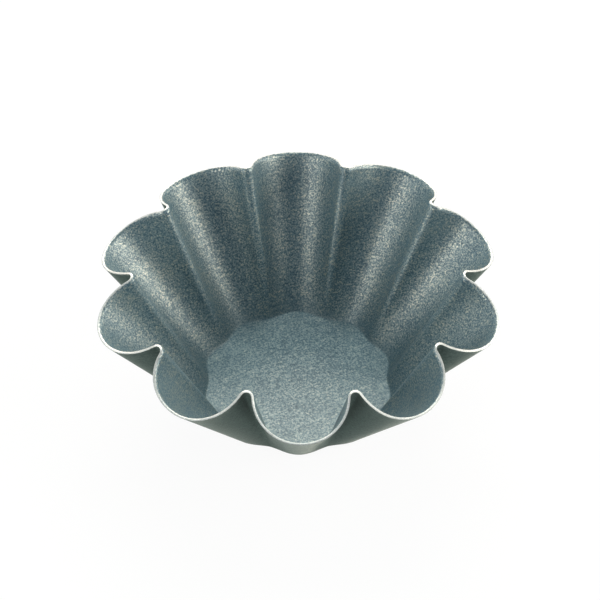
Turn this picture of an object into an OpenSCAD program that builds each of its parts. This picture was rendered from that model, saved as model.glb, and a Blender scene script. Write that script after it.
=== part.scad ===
// Fluted brioche mould, pressed from one round blank of steel sheet that was coated on both faces.
// The origin is the centre of the underside of the base, +Z is up, and one flute faces -Y.

/* [Rim] */
// Number of flutes round the mould
flute_count = 10; // [8:1:12]
// Outside diameter over the crests of the flutes at the rim
rim_crest_d = 80; // [72:0.5:90]
// Outside diameter in the folds between the flutes at the rim
rim_fold_d = 63.7; // [58:0.1:70]
// Outside radius of each fold at the rim
rim_fold_r = 1; // [0.6:0.1:3]

/* [Base] */
// Diameter of the base over its soft corners, one under each flute
base_crest_d = 38.8; // [34:0.1:44]
// Diameter of the base over the middle of its sides, one under each fold
base_fold_d = 36.7; // [32:0.1:42]
// Inside radius of the bend between base and wall
bend_inside_r = 0.6; // [0.3:0.1:3]

/* [Wall] */
// Length of the wall from base edge to rim, the same all round because the blank is round
wall_length = 33.4; // [30:0.1:50]

/* [Sheet and coatings] */
// Thickness of the steel sheet
steel_t = 0.4; // [0.3:0.05:1]
// Thickness of the speckled non-stick coating on the inside
inside_coat_t = 0.03; // [0.02:0.005:0.1]
// Thickness of the satin lacquer on the outside
outside_coat_t = 0.025; // [0.02:0.005:0.1]

/* [Fineness] */
// Facets from the crest of a flute to the end of its arc
flute_steps = 8; // [6:1:12]
// Facets from the end of a flute's arc to the middle of the fold
fold_steps = 4; // [3:1:6]
// Rows of facets through the bend between base and wall
bend_steps = 2; // [2:1:4]
// Rows of facets up the wall
wall_steps = 3; // [2:1:6]

/* [Hidden] */

// Angle that turns the first flute to -Y
first_flute_a = -90;
// Share of a step that is used to find the direction of the surface
probe = 0.001;

sheet_t = outside_coat_t + steel_t + inside_coat_t;
bend_r = bend_inside_r + sheet_t;

// The rim's outline from the crest of a flute to the middle of a fold is two arcs that meet without a kink.
// The fold's arc has its centre outside the mould; the flute's radius follows from where that centre lies.
half_pitch = 180 / flute_count;
rim_crest_r = rim_crest_d / 2;
fold_centre = (rim_fold_d / 2 + rim_fold_r) * [cos(half_pitch), sin(half_pitch)];
from_crest = fold_centre - [rim_crest_r, 0];
flute_r = (from_crest * from_crest - pow(rim_fold_r, 2)) / (2 * (rim_fold_r - from_crest.x));
flute_centre = [rim_crest_r - flute_r, 0];
flute_turn = atan2(fold_centre.y - flute_centre.y, fold_centre.x - flute_centre.x);
flute_len = flute_r * flute_turn * PI / 180;
fold_len = rim_fold_r * (flute_turn - half_pitch) * PI / 180;
half_len = flute_len + fold_len;

// The base's outline swings between its soft corners and its sides.
base_mean_r = (base_crest_d + base_fold_d) / 4;
base_swing = (base_crest_d - base_fold_d) / 4;

function ray(a) = [cos(a), sin(a)];

function turned(p, a) = p.x * ray(a) + p.y * ray(a + 90);

function flute_angle(k) = first_flute_a + 2 * half_pitch * k;

// Point of the rim's outline at a length l from the crest of a flute that points along +X
function rim_half(l) =
    l < flute_len
        ? flute_centre + flute_r * ray(l / flute_len * flute_turn)
        : fold_centre - rim_fold_r * ray(flute_turn - (l - flute_len) / fold_len * (flute_turn - half_pitch));

// Places round the mould are counted in flutes: 0 is the first crest, 0.5 the next fold, 1 the next crest.
function rim_at(t) =
    let (k = round(t), l = 2 * half_len * (t - k), p = rim_half(abs(l)))
    turned([p.x, sign(l) * p.y], flute_angle(k));

function base_at(t) = (base_mean_r + base_swing * cos(360 * t)) * ray(flute_angle(t));

// Point of the outside surface: u runs from 0 to 1 through the bend and from 1 to 2 up the wall.
// Each line up the wall is straight and as long as the others, so the rim dips where the wall leans most.
function outside_at(u, t) =
    let (
        corner = base_at(t),
        reach = rim_at(t) - corner,
        lean = acos(norm(reach) / wall_length),
        outward = reach / norm(reach),
        cut = bend_r * tan(lean / 2),
        a = min(u, 1) * lean,
        climb = max(u - 1, 0) * (wall_length - cut),
        plan = corner + (bend_r * sin(a) + climb * cos(lean) - cut) * outward
    )
    [plan.x, plan.y, bend_r * (1 - cos(a)) + climb * sin(lean)];

// Direction square to the sheet, towards the inside of the mould
function inward_at(u, t) =
    u == 0
        ? [0, 0, 1]
        : let (
            up = outside_at(u + probe, t) - outside_at(u - probe, t),
            round_it = outside_at(u, t + probe) - outside_at(u, t - probe),
            n = cross(up, round_it)
        )
        n / norm(n);

// Rows from the edge of the flat base to the rim, and places from one crest to the next
rows = [
    for (i = [0 : bend_steps]) i / bend_steps,
    for (i = [1 : wall_steps]) 1 + i / wall_steps
];
half_places = [
    for (i = [0 : flute_steps - 1]) i / flute_steps * flute_len / half_len / 2,
    for (i = [0 : fold_steps - 1]) (flute_len + i / fold_steps * fold_len) / half_len / 2
];
half_count = len(half_places);
places = [
    for (k = [0 : flute_count - 1]) each [
        for (s = half_places) k + s,
        0.5 + k,
        for (i = [half_count - 1 : -1 : 1]) k + 1 - half_places[i]
    ]
];
place_count = len(places);

// One layer of the sheet, between two depths below the outside surface
module layer(outer_depth, inner_depth) {
    row_count = len(rows);
    side_count = row_count * place_count;
    points = [
        for (depth = [outer_depth, inner_depth], u = rows, t = places)
            outside_at(u, t) + depth * inward_at(u, t)
    ];
    outer_foot = [for (j = [0 : place_count - 1]) j];
    inner_foot = [for (j = [place_count - 1 : -1 : 0]) side_count + j];
    wall = [
        for (i = [0 : row_count - 2], j = [0 : place_count - 1])
            let (
                next = (j + 1) % place_count,
                a = i * place_count + j,
                b = i * place_count + next,
                c = b + place_count,
                d = a + place_count
            )
            each [
                [a, d, c], [a, c, b],
                [side_count + a, side_count + c, side_count + d],
                [side_count + a, side_count + b, side_count + c]
            ]
    ];
    rim = [
        for (j = [0 : place_count - 1])
            let (
                a = (row_count - 1) * place_count + j,
                b = (row_count - 1) * place_count + (j + 1) % place_count
            )
            each [[a, side_count + a, side_count + b], [a, side_count + b, b]]
    ];
    polyhedron(points, concat([outer_foot, inner_foot], wall, rim), convexity = 10);
}

// Pressed steel sheet, bare and bright only at its trimmed rim
module steel_shell() {
    color("#d3d6d4") layer(outside_coat_t, outside_coat_t + steel_t);
}

// Speckled blue-grey non-stick coating
module inside_coating() {
    color("#76868b") layer(outside_coat_t + steel_t, sheet_t);
}

// Smooth dark grey lacquer
module outside_coating() {
    color("#565f5c") layer(0, outside_coat_t);
}

steel_shell();
inside_coating();
outside_coating();
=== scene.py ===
# %% [markdown]
# # A fluted brioche mould
# The mould is one pressing of thin steel sheet, with a speckled non-stick coating inside and a dark satin lacquer
# outside. The construction model gives the frame: its size, its origin and the three nodes that are dressed here.

import math

import bpy
import numpy as np
from mathutils import Matrix, Vector


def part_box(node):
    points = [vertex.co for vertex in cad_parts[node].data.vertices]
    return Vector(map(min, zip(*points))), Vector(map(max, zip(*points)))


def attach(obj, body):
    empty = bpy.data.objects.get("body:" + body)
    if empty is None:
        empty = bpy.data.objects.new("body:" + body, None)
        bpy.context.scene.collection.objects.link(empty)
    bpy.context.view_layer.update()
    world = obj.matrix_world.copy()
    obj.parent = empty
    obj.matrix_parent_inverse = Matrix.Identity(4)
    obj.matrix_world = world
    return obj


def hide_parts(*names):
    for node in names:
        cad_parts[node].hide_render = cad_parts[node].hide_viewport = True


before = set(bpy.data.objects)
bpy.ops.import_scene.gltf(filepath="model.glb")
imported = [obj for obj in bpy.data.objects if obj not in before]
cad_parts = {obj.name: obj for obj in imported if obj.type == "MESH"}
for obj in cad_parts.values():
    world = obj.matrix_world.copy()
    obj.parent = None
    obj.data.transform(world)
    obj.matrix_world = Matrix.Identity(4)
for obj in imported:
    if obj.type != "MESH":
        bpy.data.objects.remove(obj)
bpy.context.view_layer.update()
MM = 0.001


# %% [markdown]
# ## Sizes of the pressing
# The rim is a ring of ten wide flutes, with a tight fold between each two. The base is nearly a ten-sided figure
# with a soft corner under each flute. The wall is equally long everywhere, because the blank was a round disc, so
# the rim dips where the wall leans most. The rim's radius is read from the frame. The rest repeats the
# construction's sizes, because measuring them on its triangles would say less exactly what the construction already
# says.

# %% Sizes, in metres
FLUTES = 10
RIM_CREST_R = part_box("outside_coating")[1].y
RIM_FOLD_R = 31.85 * MM
FOLD_ARC_R = 1.0 * MM
BASE_CREST_R = 19.4 * MM
BASE_FOLD_R = 18.35 * MM
WALL_LENGTH = 33.4 * MM
BEND_INSIDE_R = 0.6 * MM
STEEL_T = 0.4 * MM
INSIDE_COAT_T = 0.03 * MM
OUTSIDE_COAT_T = 0.025 * MM
SHEET_T = OUTSIDE_COAT_T + STEEL_T + INSIDE_COAT_T
BEND_R = BEND_INSIDE_R + SHEET_T
HALF_PITCH = math.pi / FLUTES
FIRST_FLUTE = -math.pi / 2
print("rim radius in mm:", round(RIM_CREST_R / MM, 3))

# %% [markdown]
# ## The rim's outline
# A flute could be drawn as a wave, but a wave has no tight fold. On the real die each flute is an arc and each fold
# is a small arc bent the other way, and they meet without a kink. That gives the flute's radius from the other
# sizes.

# %% Arcs of the rim's outline
fold_centre = (RIM_FOLD_R + FOLD_ARC_R) * np.array([math.cos(HALF_PITCH), math.sin(HALF_PITCH)])
from_crest = fold_centre - [RIM_CREST_R, 0]
FLUTE_R = (from_crest @ from_crest - FOLD_ARC_R**2) / (2 * (FOLD_ARC_R - from_crest[0]))
FLUTE_CENTRE = RIM_CREST_R - FLUTE_R
FLUTE_TURN = math.atan2(fold_centre[1], fold_centre[0] - FLUTE_CENTRE)
FLUTE_LEN = FLUTE_R * FLUTE_TURN
HALF_LEN = FLUTE_LEN + FOLD_ARC_R * (FLUTE_TURN - HALF_PITCH)
print("flute radius in mm:", round(FLUTE_R / MM, 3))

# %% Outlines of the rim and the base


def ray(angle):
    """Unit vectors in the plane at these angles."""
    return np.stack([np.cos(angle), np.sin(angle)], -1)


def rim_at(t):
    """Points of the rim's outline. t counts flutes: 0 is a crest, 0.5 the next fold. Along the outline from the crest
    runs the flute's arc, round its own centre, and then the fold's arc, round a centre outside the mould."""
    crest = np.round(t)
    along = 2 * HALF_LEN * (t - crest)
    length = np.abs(along)
    on_flute = [FLUTE_CENTRE, 0] + FLUTE_R * ray(length / FLUTE_R)
    on_fold = fold_centre - FOLD_ARC_R * ray(FLUTE_TURN - (length - FLUTE_LEN) / FOLD_ARC_R)
    p = np.where((length < FLUTE_LEN)[..., None], on_flute, on_fold)
    a = FIRST_FLUTE + 2 * HALF_PITCH * crest
    return p[..., :1] * ray(a) + np.sign(along)[..., None] * p[..., 1:] * ray(a + math.pi / 2)


def base_at(t):
    """Points of the base's outline: the radius swings by a cosine between the soft corners and the sides."""
    radius = (BASE_CREST_R + BASE_FOLD_R) / 2 + (BASE_CREST_R - BASE_FOLD_R) / 2 * np.cos(2 * math.pi * t)
    return radius[..., None] * ray(FIRST_FLUTE + 2 * HALF_PITCH * t)


print("half a flute along the rim in mm:", round(HALF_LEN / MM, 2))

# %% [markdown]
# ## No two flutes alike
# A mould pressed and trimmed in bulk is a little uneven. On this one the fold at the back right is pressed less
# deep than its neighbours, and some flutes lean sideways. Random errors would look as real, but these follow the
# photograph. Each list below has ten pairs, a flute's crest and the fold after it, from the front flute round by
# the right. The errors hold at the rim and fade out down the wall.

# %% Unevenness at the rim
REACH_MM = [
    -0.2, 0.1, -0.4, 0.1, -0.3, 0.3, -0.2, 1.5, 0.4, 0.4,
    -0.2, 0.4, -0.2, 0.3, -0.3, 0.4, -0.2, 0.4, -0.6, -0.1,
]
SWAY_DEG = [
    0.2, 0.0, -1.1, -0.1, 0.0, -0.2, -0.3, 0.0, 0.3, 0.1,
    -0.1, 0.0, 0.4, 0.2, 0.8, 0.1, -0.5, -0.3, 0.7, 0.2,
]
LIFT_MM = [
    0.4, -0.1, 0.2, -0.1, 0.2, -0.1, 0.1, -0.1, 0.2, -0.1,
    0.0, -0.1, -0.1, -0.1, 0.0, -0.1, 0.2, -0.1, 0.0, -0.1,
]


def between(knots, t):
    """Values at t from a row of crest and fold values, joined by half waves of a cosine."""
    knots = np.array(knots)
    place = np.floor(2 * t).astype(int)
    share = (1 - np.cos(math.pi * (2 * t - place))) / 2
    return knots[place % len(knots)] * (1 - share) + knots[(place + 1) % len(knots)] * share


print("least and most reach in mm:", min(REACH_MM), max(REACH_MM))

# %% [markdown]
# ## The outside surface
# From each point of the base's edge a straight line runs to the rim. All the lines are equally long, which sets how
# high the rim is. A loft between two level outlines would be simpler, but its rim would be level too, and the real
# one isn't. The bend between base and wall is an arc in the upright plane of that line.

# %% Outside surface


def outside_at(u, t):
    """Points of the outside surface: u runs 0 to 1 through the bend and 1 to 2 up the wall. The lean of a line has
    its reach in plan divided by its length as cosine. The unevenness grows in step with the way up the wall."""
    corner = base_at(t)
    reach = rim_at(t) - corner
    run = np.linalg.norm(reach, axis=-1)
    lean = np.arccos(run / WALL_LENGTH)
    cut = BEND_R * np.tan(lean / 2)
    a = np.minimum(u, 1) * lean
    fade = np.maximum(u - 1, 0)
    climb = fade * (WALL_LENGTH - cut)
    out = BEND_R * np.sin(a) + climb * np.cos(lean) - cut
    plan = corner + (out / run)[..., None] * reach
    height = BEND_R * (1 - np.cos(a)) + climb * np.sin(lean)
    radius = np.linalg.norm(plan, axis=-1) + between(REACH_MM, t) * MM * fade
    angle = np.arctan2(plan[..., 1], plan[..., 0]) + np.radians(between(SWAY_DEG, t)) * fade
    height = height + between(LIFT_MM, t) * MM * fade
    return np.concatenate([radius[..., None] * ray(angle), height[..., None]], -1)


rim_points = outside_at(np.array([2.0, 2.0]), np.array([0.0, 0.5]))
print("rim height in mm at the front crest and the next fold:", (rim_points[:, 2] / MM).round(2))

# %% The direction square to the surface


def inward_at(u, t, step=0.001):
    """Unit vectors square to the sheet, towards the inside: the cross product of the ways up and round, and straight
    up on the base."""
    up = outside_at(u + step, t) - outside_at(u - step, t)
    around = outside_at(u, t + step) - outside_at(u, t - step)
    n = np.cross(up, around)
    n /= np.linalg.norm(n, axis=-1, keepdims=True)
    n[u == 0] = [0, 0, 1]
    return n


print("inward at the front crest:", inward_at(np.array([2.0]), np.array([0.0]))[0].round(2))

# %% [markdown]
# ## From surface to mesh
# Each layer of the sheet is a closed skin between two depths below the outside surface. It runs from the centre of
# the base out and up to the rim, over the cut edge, and back down to the centre. A Solidify modifier could thicken
# one surface, but three layers that have to meet face to face are surer when each is made at its own depths. The
# outer ring at the rim is sharp and the inner one smooth, because shears round one side of a cut and leave the
# other crisp. Every vertex carries a number, edge, which is 1 at the rim and 0 from the next ring on, a millimetre
# down. The coats wear by it.

# %% Rings of points
AROUND_FLUTE, AROUND_FOLD = 18, 8
BEND_ROWS, WALL_ROWS, BASE_ROWS = 5, 34, 6


def places():
    """Places round the rim, closer together in the folds, as one array over all the flutes."""
    share = FLUTE_LEN / HALF_LEN / 2
    half = np.concatenate([
        np.linspace(0, share, AROUND_FLUTE, endpoint=False),
        np.linspace(share, 0.5, AROUND_FOLD, endpoint=False),
    ])
    one = np.concatenate([half, [0.5], 1 - half[:0:-1]])
    return (np.arange(FLUTES)[:, None] + one).ravel()


def layer_rows(depth):
    """Rings of points at one depth, from near the centre of the base to the rim."""
    t = places()
    u = np.concatenate([np.linspace(0, 1, BEND_ROWS, endpoint=False), np.linspace(1, 2, WALL_ROWS + 1)])
    u, t = np.meshgrid(u, t, indexing="ij")
    wall = outside_at(u, t) + depth * inward_at(u, t)
    shrink = np.linspace(0, 1, BASE_ROWS, endpoint=False)[1:, None, None]
    foot = wall[:1] * np.array([1, 1, 0])
    base = foot * shrink + np.array([0, 0, depth])
    return np.concatenate([base, wall])


print("rings on a face and points on a ring:", layer_rows(0).shape[:2])

# %% Faces of a closed skin


def skin_faces(count, around):
    """Faces over rings of points: four-sided ones between each two rings, and a fan of triangles from the first ring
    and from the last to a centre each. The two centres come after the rings."""
    i, j = np.meshgrid(np.arange(count - 1), np.arange(around), indexing="ij")
    k = (j + 1) % around
    quads = np.stack([i * around + j, i * around + k, (i + 1) * around + k, (i + 1) * around + j], -1)
    j, k = j[0], k[0]
    last = (count - 1) * around
    first_fan = np.stack([k, j, np.full(around, count * around)], -1)
    last_fan = np.stack([last + j, last + k, np.full(around, count * around + 1)], -1)
    return quads.reshape(-1, 4).tolist() + first_fan.tolist() + last_fan.tolist()


print("faces of a tube of 2 rings of 3 points:", skin_faces(2, 3))

# %% Mesh of one layer


def mark_rim(mesh, rim, around):
    """Marks the cut edge, which lies between the rings numbered rim and rim + 1: the number edge is 1 on both, and
    the mesh is sharp along the first."""
    ring = np.arange(len(mesh.vertices)) // around
    edge = ((ring == rim) | (ring == rim + 1)).astype(np.float32)
    mesh.attributes.new("edge", "FLOAT", "POINT").data.foreach_set("value", edge)
    ends = np.empty(2 * len(mesh.edges), np.int32)
    mesh.edges.foreach_get("vertices", ends)
    sharp = (ends.reshape(-1, 2) // around == rim).all(-1)
    mesh.attributes.new("sharp_edge", "BOOLEAN", "EDGE").data.foreach_set("value", sharp)


def layer_piece(name, outer_depth, inner_depth):
    """Closed mesh between two depths: rings out along the outer face, over the rim and back along the inner face."""
    outer, inner = layer_rows(outer_depth), layer_rows(inner_depth)
    rings = np.concatenate([outer, inner[::-1]])
    count, around = rings.shape[:2]
    centres = np.array([[0, 0, outer_depth], [0, 0, inner_depth]])
    verts = np.concatenate([rings.reshape(-1, 3), centres])
    mesh = bpy.data.meshes.new(name)
    mesh.from_pydata(verts.tolist(), [], skin_faces(count, around))
    mesh.polygons.foreach_set("use_smooth", np.ones(len(mesh.polygons), bool))
    mark_rim(mesh, len(outer) - 1, around)
    mesh.update()
    piece = bpy.data.objects.new(name, mesh)
    bpy.context.scene.collection.objects.link(piece)
    print(name, "faces:", len(mesh.polygons))
    return piece


# %% [markdown]
# ## The speckled coating
# The inside looks blue-grey from afar. Close up it is a dark blue lacquer full of pale metal flakes, each about a
# third of a millimetre wide. A picture of flakes could be laid over it, but it would stretch on the wall and
# repeat. Noise in the object's own coordinates does neither. One noise is the flakes: it sets the colour, how
# metallic the spot is and how rough, and it tilts the surface a little from flake to flake, so that they glitter. A
# broad noise varies how many there are, and one that is drawn out lines them up faintly, all one way, as the roller
# left them when it coated the flat sheet. The press stretched the wall and not the bottom, and drew the flakes
# apart there, so their contrast grows above the bend.

# %% Helper for a material


def set_inputs(node, values):
    """Constant values for the named sockets of a node."""
    for socket, value in values.items():
        node.inputs[socket].default_value = value


def new_material(name):
    """Material with its node tree, its main shader and the place on the object."""
    material = bpy.data.materials.new(name)
    material.use_nodes = True
    tree = material.node_tree
    where = tree.nodes.new("ShaderNodeTexCoord").outputs["Object"]
    return material, tree, tree.nodes["Principled BSDF"], where


# %% Helpers for patterns


def add_noise(tree, where, grain, detail=2.0, roughness=0.5):
    """Noise whose grains are about this wide, in metres."""
    node = tree.nodes.new("ShaderNodeTexNoise")
    set_inputs(node, {"Scale": 1 / grain, "Detail": detail, "Roughness": roughness})
    tree.links.new(where, node.inputs["Vector"])
    return node.outputs["Fac"]


def add_ramp(tree, value, stops):
    """Colour ramp from a list of position and colour."""
    node = tree.nodes.new("ShaderNodeValToRGB")
    points = node.color_ramp.elements
    points[0].position, points[0].color = stops[0][0], (*stops[0][1], 1)
    points[1].position, points[1].color = stops[-1][0], (*stops[-1][1], 1)
    for place, colour in stops[1:-1]:
        points.new(place).color = (*colour, 1)
    tree.links.new(value, node.inputs["Fac"])
    return node.outputs["Color"]


# %% Helpers for values


def add_range(tree, value, low, high, start=0.0, end=1.0):
    """The value, which runs from start to end, carried to the range from low to high."""
    node = tree.nodes.new("ShaderNodeMapRange")
    set_inputs(node, {"From Min": start, "From Max": end, "To Min": low, "To Max": high})
    tree.links.new(value, node.inputs["Value"])
    return node.outputs["Result"]


def add_math(tree, operation, first, second):
    """One step of arithmetic on a socket with a number or with another socket."""
    node = tree.nodes.new("ShaderNodeMath")
    node.operation = operation
    tree.links.new(first, node.inputs[0])
    if isinstance(second, float):
        node.inputs[1].default_value = second
    else:
        tree.links.new(second, node.inputs[1])
    return node.outputs[0]


# %% Helper for a bumpy surface


def add_bump(tree, shader, height, distance):
    """Surface tilted as if the height stood out by this distance, in metres."""
    node = tree.nodes.new("ShaderNodeBump")
    set_inputs(node, {"Distance": distance, "Strength": 1.0})
    tree.links.new(height, node.inputs["Height"])
    tree.links.new(node.outputs["Normal"], shader.inputs["Normal"])


# %% Wear along the rim
CHIP_WIDTH = 0.5 * MM
CHIP_START, CHIP_END = 1.30, 1.50
CHIP_MOST = 0.8


def add_wear(tree, where, colour, bare):
    """The colour, with chips of the bare colour along the rim: a noise is added to the edge number of the mesh, and
    the coat is gone where the sum is high."""
    edge = tree.nodes.new("ShaderNodeAttribute")
    edge.attribute_name = "edge"
    chips = add_math(tree, "ADD", edge.outputs["Fac"], add_noise(tree, where, CHIP_WIDTH, detail=3.0))
    mix = tree.nodes.new("ShaderNodeMix")
    mix.data_type = "RGBA"
    tree.links.new(add_range(tree, chips, 0, CHIP_MOST, CHIP_START, CHIP_END), mix.inputs["Factor"])
    tree.links.new(colour, mix.inputs["A"])
    mix.inputs["B"].default_value = (*bare, 1)
    return mix.outputs["Result"]


print("chip width in mm:", CHIP_WIDTH / MM)

# %% Lines that the roller left
ROLLER_TURN = math.radians(25)
ROLLER_STRETCH = 7.0


def along_roller(tree, where):
    """The place, drawn out along the line in which the roller ran."""
    node = tree.nodes.new("ShaderNodeMapping")
    node.vector_type = "TEXTURE"
    set_inputs(node, {"Rotation": (0, 0, ROLLER_TURN), "Scale": (ROLLER_STRETCH, 1, 1)})
    tree.links.new(where, node.inputs["Vector"])
    return node.outputs["Vector"]


print("roller lines in degrees from the X axis:", round(math.degrees(ROLLER_TURN)))

# %% Speckled non-stick coating
FLAKE_WIDTH = 0.32 * MM
CROWD_WIDTH, CROWD_SHARE = 5 * MM, 0.05
LINE_WIDTH, LINE_SHARE = 0.4 * MM, 0.10
NOISE_MIDDLE = 0.5
BASE_CONTRAST, WALL_CONTRAST = 0.66, 1.08
CONTRAST_FROM, CONTRAST_TO = 0.8 * MM, 4 * MM
FLAKE_COLOURS = [
    (0.36, (0.017, 0.060, 0.092)),
    (0.46, (0.060, 0.128, 0.166)),
    (0.54, (0.185, 0.250, 0.265)),
    (0.63, (0.390, 0.404, 0.362)),
    (0.73, (0.520, 0.508, 0.430)),
]
FLAKE_METAL = [(0.46, (0.04, 0.04, 0.04)), (0.61, (0.84, 0.84, 0.84))]
LACQUER_ROUGH, FLAKE_ROUGH = 0.50, 0.38
COATING_IOR = 1.75
FLAKE_TILT = 0.045 * MM
COATING_CHIP = (0.70, 0.70, 0.68)


def flake_noise(tree, where):
    """Sum of the flakes' noise, the broad one and the lines, with its distance from the middle value multiplied by a
    contrast that grows with height."""
    flakes = add_noise(tree, where, FLAKE_WIDTH, detail=3.0, roughness=0.7)
    crowd = add_range(tree, add_noise(tree, where, CROWD_WIDTH), -CROWD_SHARE, CROWD_SHARE)
    lines = add_range(tree, add_noise(tree, along_roller(tree, where), LINE_WIDTH), -LINE_SHARE, LINE_SHARE)
    flakes = add_math(tree, "ADD", add_math(tree, "ADD", flakes, crowd), lines)
    height = tree.nodes.new("ShaderNodeSeparateXYZ")
    tree.links.new(where, height.inputs["Vector"])
    contrast = add_range(tree, height.outputs["Z"], BASE_CONTRAST, WALL_CONTRAST, CONTRAST_FROM, CONTRAST_TO)
    flakes = add_math(tree, "MULTIPLY", add_math(tree, "SUBTRACT", flakes, NOISE_MIDDLE), contrast)
    return add_math(tree, "ADD", flakes, NOISE_MIDDLE)


def speckled_coating():
    """Dark blue lacquer where the flake noise is low and pale, shinier metal where it is high."""
    material, tree, shader, where = new_material("speckled_coating")
    flakes = flake_noise(tree, where)
    colour = add_wear(tree, where, add_ramp(tree, flakes, FLAKE_COLOURS), COATING_CHIP)
    tree.links.new(colour, shader.inputs["Base Color"])
    tree.links.new(add_ramp(tree, flakes, FLAKE_METAL), shader.inputs["Metallic"])
    tree.links.new(add_range(tree, flakes, LACQUER_ROUGH, FLAKE_ROUGH), shader.inputs["Roughness"])
    set_inputs(shader, {"IOR": COATING_IOR})
    add_bump(tree, shader, flakes, FLAKE_TILT)
    return material


COATING = speckled_coating()
print(COATING.name, "nodes:", len(COATING.node_tree.nodes))

# %% [markdown]
# ## The satin lacquer
# The outside is a dark green-grey, and smoother to the finger than the inside. What shows on it is mostly the pale
# floor, mirrored very softly where the wall is seen at a shallow angle. A plain varnish would mirror far more
# there, so the lacquer is partly metallic, as one with fine pigment is, with a dark green edge tint and a faint
# sheen. Broad clouds and a fine grain vary its tone, and it is chipped a little along the rim, as the coating is.

# %% Satin lacquer
CLOUD_WIDTH, CLOUD_LOW, CLOUD_HIGH = 6 * MM, 0.38, 0.62
GRAIN_WIDTH, GRAIN_SHARE, GRAIN_TILT = 0.5 * MM, 0.6, 0.05 * MM
LACQUER_COLOURS = [(0.20, (0.048, 0.067, 0.062)), (0.80, (0.118, 0.157, 0.146))]
SATIN_LEAST, SATIN_MOST = 0.54, 0.62
LACQUER_CHIP = (0.30, 0.32, 0.31)


def satin_lacquer():
    """Colour by the sum of a broad and a fine noise, over a shader that is partly metal and mirrors little."""
    material, tree, shader, where = new_material("satin_lacquer")
    cloud = add_noise(tree, where, CLOUD_WIDTH, detail=3.0)
    grain = add_noise(tree, where, GRAIN_WIDTH, detail=3.0, roughness=0.7)
    broad = add_range(tree, cloud, CLOUD_LOW, CLOUD_HIGH)
    tone = add_math(tree, "ADD", broad, add_range(tree, grain, -GRAIN_SHARE, GRAIN_SHARE))
    colour = add_wear(tree, where, add_ramp(tree, tone, LACQUER_COLOURS), LACQUER_CHIP)
    tree.links.new(colour, shader.inputs["Base Color"])
    tree.links.new(add_range(tree, cloud, SATIN_LEAST, SATIN_MOST), shader.inputs["Roughness"])
    set_inputs(shader, {
        "IOR": 1.18,
        "Metallic": 0.6,
        "Specular Tint": (0.27, 0.36, 0.33, 1),
        "Sheen Weight": 0.3,
        "Sheen Roughness": 0.3,
        "Sheen Tint": (0.96, 1.00, 0.93, 1),
    })
    add_bump(tree, shader, grain, GRAIN_TILT)
    return material


LACQUER = satin_lacquer()
print(LACQUER.name, "nodes:", len(LACQUER.node_tree.nodes))

# %% [markdown]
# ## The cut edge
# The steel shows only where the blank was trimmed. The shears leave a bright, finely torn edge, duller where their
# blades were worn. An even metal would look like a drawn wire there, so a fine noise tears it and a broad one dulls
# it.

# %% Bare steel
TEAR_WIDTH, TEAR_TILT = 0.15 * MM, 0.01 * MM
DULL_WIDTH, DULL_SHARE = 2 * MM, 0.2
STEEL_COLOURS = [(0.3, (0.48, 0.49, 0.48)), (0.7, (0.80, 0.80, 0.78))]
STEEL_LEAST, STEEL_MOST = 0.42, 0.60


def bare_steel():
    """Metal whose colour follows the sum of the two noises, and its roughness and tilt the fine one."""
    material, tree, shader, where = new_material("bare_steel")
    tear = add_noise(tree, where, TEAR_WIDTH)
    dull = add_range(tree, add_noise(tree, where, DULL_WIDTH), -DULL_SHARE, DULL_SHARE)
    colour = add_ramp(tree, add_math(tree, "ADD", tear, dull), STEEL_COLOURS)
    tree.links.new(colour, shader.inputs["Base Color"])
    set_inputs(shader, {"Metallic": 1.0})
    tree.links.new(add_range(tree, tear, STEEL_LEAST, STEEL_MOST), shader.inputs["Roughness"])
    add_bump(tree, shader, tear, TEAR_TILT)
    return material


STEEL = bare_steel()
print(STEEL.name, "nodes:", len(STEEL.node_tree.nodes))

# %% [markdown]
# ## The three pieces
# Each piece stands for its node of the construction and rides on the one body. The layers meet face to face, as
# they do on the real sheet. One loop makes all three, because they differ only in their depths and their material.

# %% Make the pieces
STEEL_FROM, STEEL_TO = OUTSIDE_COAT_T, OUTSIDE_COAT_T + STEEL_T
LAYERS = {
    "outside_coating": (0, STEEL_FROM, LACQUER, "satin_lacquer"),
    "steel_shell": (STEEL_FROM, STEEL_TO, STEEL, "bare_steel"),
    "inside_coating": (STEEL_TO, SHEET_T, COATING, "speckled_coating"),
}
for node, (outer_depth, inner_depth, material, slot) in LAYERS.items():
    piece = layer_piece(node + "_skin", outer_depth, inner_depth)
    piece.data.materials.append(material)
    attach(piece, "root")
    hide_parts(node)

# %% [markdown]
# ## Floor
# A pale floor runs out of view. Under plain light alone it would be grey and uneven, and as plain white alone it
# would have no shadow, so it is both. To the camera, and in the mould's own gloss, most of it is plain white, as a
# sheet of studio paper is. The rest is lit as any floor is, so it keeps a faint shadow under the mould. It lies a
# hair below the mould, because two faces in one plane flicker through each other, and a camera below looks through
# it at the base.

# %% Material of the floor
WHITE_SHARE = 0.93
FLOOR_COLOUR = (0.9, 0.9, 0.9, 1)
FLOOR_ROUGH = 0.9


def add_mix(tree, factor, first, second):
    """Shader that is the first one where the factor is 0 and the second where it is 1."""
    node = tree.nodes.new("ShaderNodeMixShader")
    tree.links.new(factor, node.inputs[0])
    tree.links.new(first, node.inputs[1])
    tree.links.new(second, node.inputs[2])
    return node.outputs[0]


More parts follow.
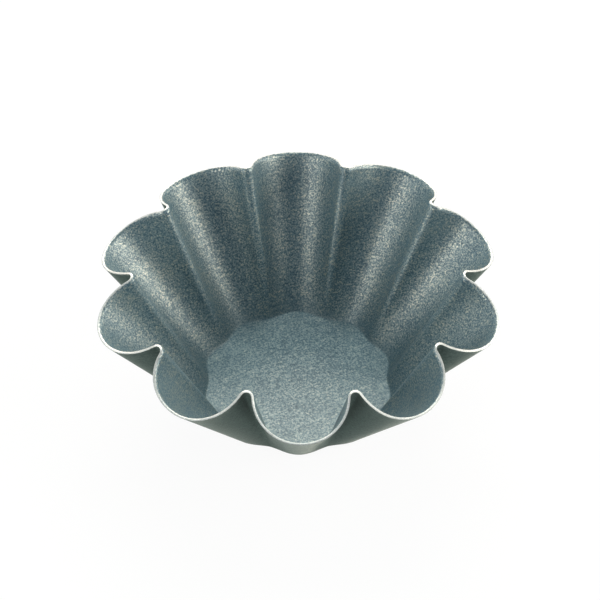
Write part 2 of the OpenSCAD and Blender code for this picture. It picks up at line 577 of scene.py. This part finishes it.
def floor_paper():
    """Matt paper, mixed with plain white for the rays that see it, and clear to a camera that sees its back."""
    material, tree, shader, _ = new_material("pale_floor")
    set_inputs(shader, {"Base Color": FLOOR_COLOUR, "Roughness": FLOOR_ROUGH})
    white = tree.nodes.new("ShaderNodeEmission").outputs[0]
    clear = tree.nodes.new("ShaderNodeBsdfTransparent").outputs[0]
    back = tree.nodes.new("ShaderNodeNewGeometry").outputs["Backfacing"]
    path = tree.nodes.new("ShaderNodeLightPath").outputs
    seen = path["Is Camera Ray"]
    for kind in ("Is Glossy Ray", "Is Transmission Ray"):
        seen = add_math(tree, "MAXIMUM", seen, path[kind])
    paper = add_mix(tree, add_math(tree, "MULTIPLY", seen, WHITE_SHARE), shader.outputs[0], white)
    window = add_math(tree, "MULTIPLY", back, path["Is Camera Ray"])
    tree.links.new(add_mix(tree, window, paper, clear), tree.nodes["Material Output"].inputs["Surface"])
    return material


PAPER = floor_paper()
print(PAPER.name, "share of plain white:", WHITE_SHARE)

# %% Floor
FLOOR_HALF = 3.0
FLOOR_Z = -0.05 * MM
corners = [(-1, -1), (1, -1), (1, 1), (-1, 1)]
floor_mesh = bpy.data.meshes.new("floor")
floor_mesh.from_pydata([(FLOOR_HALF * x, FLOOR_HALF * y, FLOOR_Z) for x, y in corners], [], [(0, 1, 2, 3)])
floor_mesh.materials.append(PAPER)
floor = bpy.data.objects.new("floor", floor_mesh)
bpy.context.scene.collection.objects.link(floor)
print("floor side in metres:", 2 * FLOOR_HALF)

# %% [markdown]
# ## Light
# Gloss shows the lamps more than it shows itself. The photograph has one band of light to the left of each flute's
# middle and one to the right, and the side towards the camera is nearly dark. An even sky would show no bands, so
# each side has a wide soft box and, where the bands need it, a narrow warmer one. Two more hang behind, and their
# light comes off the bottom of the mould: a low one reaches its front, and a fainter high one also its back, which
# the wall hides from the low one. A very faint one in front keeps the far flutes from going black between their
# bands. The room is dim and bluish, and only the camera sees it as white.

# %% World
ROOM_COLOUR = (0.80, 0.94, 1.04, 1)
ROOM_STRENGTH = 0.28
world = bpy.data.worlds.new("studio")
bpy.context.scene.world = world
world.use_nodes = True
room_tree = world.node_tree
room = room_tree.nodes["Background"]
set_inputs(room, {"Color": ROOM_COLOUR, "Strength": ROOM_STRENGTH})
backdrop = room_tree.nodes.new("ShaderNodeBackground")
set_inputs(backdrop, {"Color": (1, 1, 1, 1)})
to_camera = room_tree.nodes.new("ShaderNodeLightPath").outputs["Is Camera Ray"]
shown = add_mix(room_tree, to_camera, room.outputs[0], backdrop.outputs[0])
room_tree.links.new(shown, room_tree.nodes["World Output"].inputs["Surface"])
print("strength of the room:", ROOM_STRENGTH)

# %% Lamps
BOX_DISTANCE = 0.9
BOXES = [
    # name, azimuth and elevation in degrees, width and height in metres, power in watts, colour
    ("left_box", -49, 25, 0.36, 0.52, 2.85, (1.0, 0.96, 0.86)),
    ("left_wide_box", -92, 22, 1.30, 0.50, 3.4, (0.97, 1.0, 0.95)),
    ("right_box", 85, 22, 0.50, 0.50, 3.9, (1.0, 0.91, 0.76)),
    ("right_wide_box", 95, 22, 1.30, 0.50, 5.8, (0.97, 0.98, 0.92)),
    ("back_box", 180, 32, 0.68, 0.28, 7.1, (1.0, 0.90, 0.78)),
    ("high_box", 180, 58, 0.80, 0.26, 2.2, (0.85, 1.0, 0.96)),
    ("front_box", 10, 38, 0.90, 0.30, 0.06, (0.90, 1.0, 0.98)),
]


def soft_box(name, azimuth, elevation, width, height, power, colour):
    """Area lamp that faces the middle of the mould. The azimuth is 0 on the camera's side and grows to the right."""
    azimuth, elevation = math.radians(azimuth), math.radians(elevation)
    flat = math.cos(elevation)
    place = BOX_DISTANCE * Vector((math.sin(azimuth) * flat, -math.cos(azimuth) * flat, math.sin(elevation)))
    data = bpy.data.lights.new(name, "AREA")
    data.shape = "RECTANGLE"
    data.size, data.size_y = width, height
    data.energy = power
    data.color = colour
    lamp = bpy.data.objects.new(name, data)
    lamp.location = place
    lamp.rotation_euler = (-place).to_track_quat("-Z", "Y").to_euler()
    bpy.context.scene.collection.objects.link(lamp)


for box in BOXES:
    soft_box(*box)
print("soft boxes:", len(BOXES))

# %% [markdown]
# ## Camera
# The camera stands where the photographer's stood, nearly half a metre away with a long lens, a little over 45
# degrees above the table. Placing it by eye never quite fits, so its place, its aim and its small roll were worked
# out from the outlines of the rim and the base in the photograph.

# %% Camera
CAMERA_AT = Vector((-0.00453, -0.31251, 0.34568))
AIM_AT = Vector((0.00047, 0.00833, 0.01500))
CAMERA_ROLL = math.radians(0.23)
CAMERA_LENS = 138.5
CAMERA_SENSOR = 36
CLIP_NEAR, CLIP_FAR = 0.01, 20
camera_data = bpy.data.cameras.new("camera")
camera_data.lens = CAMERA_LENS
camera_data.sensor_width = CAMERA_SENSOR
camera_data.clip_start, camera_data.clip_end = CLIP_NEAR, CLIP_FAR
camera = bpy.data.objects.new("camera", camera_data)
camera.location = CAMERA_AT
look = (AIM_AT - CAMERA_AT).to_track_quat("-Z", "Y")
camera.rotation_euler = (look.to_matrix() @ Matrix.Rotation(CAMERA_ROLL, 3, "Z")).to_euler()
bpy.context.scene.collection.objects.link(camera)
bpy.context.scene.camera = camera
bpy.context.scene.view_settings.view_transform = "Standard"
print("camera distance in mm:", round((AIM_AT - CAMERA_AT).length / MM))
